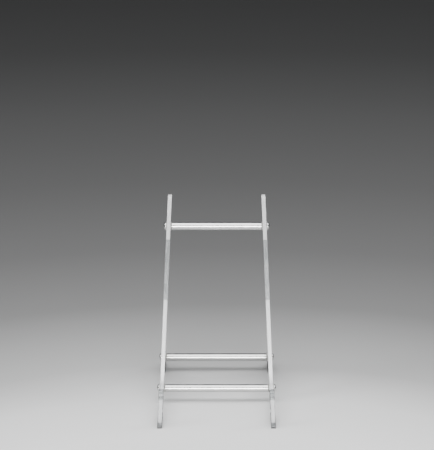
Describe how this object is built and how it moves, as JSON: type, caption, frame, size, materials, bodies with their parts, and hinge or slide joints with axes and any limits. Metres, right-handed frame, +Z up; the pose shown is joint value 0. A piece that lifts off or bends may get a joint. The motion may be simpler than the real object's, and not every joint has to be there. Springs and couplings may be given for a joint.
{
  "type": "plate display stand",
  "caption": "Clear display stand: two leaning acrylic side panels with lips and sloping arms, held apart by steel tie rods, to show a large dish upright.",
  "frame": {"origin": "on the table, under the middle of the stand's outline", "axes": "+Z up; the lips and the dish face -Y; +X to the right as seen by someone looking at the dish"},
  "size_m": [0.1228, 0.1728, 0.2049],
  "materials": {
    "acrylic": "clear cast acrylic sheet, polished edges",
    "clear_vinyl": "soft clear vinyl, slightly grey, satin",
    "washer_nylon": "natural nylon, translucent",
    "rod_steel": "turned stainless, satin",
    "screw_steel": "stainless, bright"
  },
  "bodies": {
    "root": {"front_tie_rod": "rod_steel", "left_arm_pad": "clear_vinyl", "left_front_boot": "clear_vinyl", "left_front_inner_washer": "washer_nylon", "left_front_outer_washer": "washer_nylon", "left_front_screw": "screw_steel", "left_lip_cap": "clear_vinyl", "left_rear_boot": "clear_vinyl", "left_rear_inner_washer": "washer_nylon", "left_rear_outer_washer": "washer_nylon", "left_rear_screw": "screw_steel", "left_seat_pad": "clear_vinyl", "left_side_panel": "acrylic", "left_upper_inner_washer": "washer_nylon", "left_upper_outer_washer": "washer_nylon", "left_upper_screw": "screw_steel", "rear_tie_rod": "rod_steel", "right_arm_pad": "clear_vinyl", "right_front_boot": "clear_vinyl", "right_front_inner_washer": "washer_nylon", "right_front_outer_washer": "washer_nylon", "right_front_screw": "screw_steel", "right_lip_cap": "clear_vinyl", "right_rear_boot": "clear_vinyl", "right_rear_inner_washer": "washer_nylon", "right_rear_outer_washer": "washer_nylon", "right_rear_screw": "screw_steel", "right_seat_pad": "clear_vinyl", "right_side_panel": "acrylic", "right_upper_inner_washer": "washer_nylon", "right_upper_outer_washer": "washer_nylon", "right_upper_screw": "screw_steel", "upper_tie_rod": "rod_steel"}
  },
  "joints": []
}
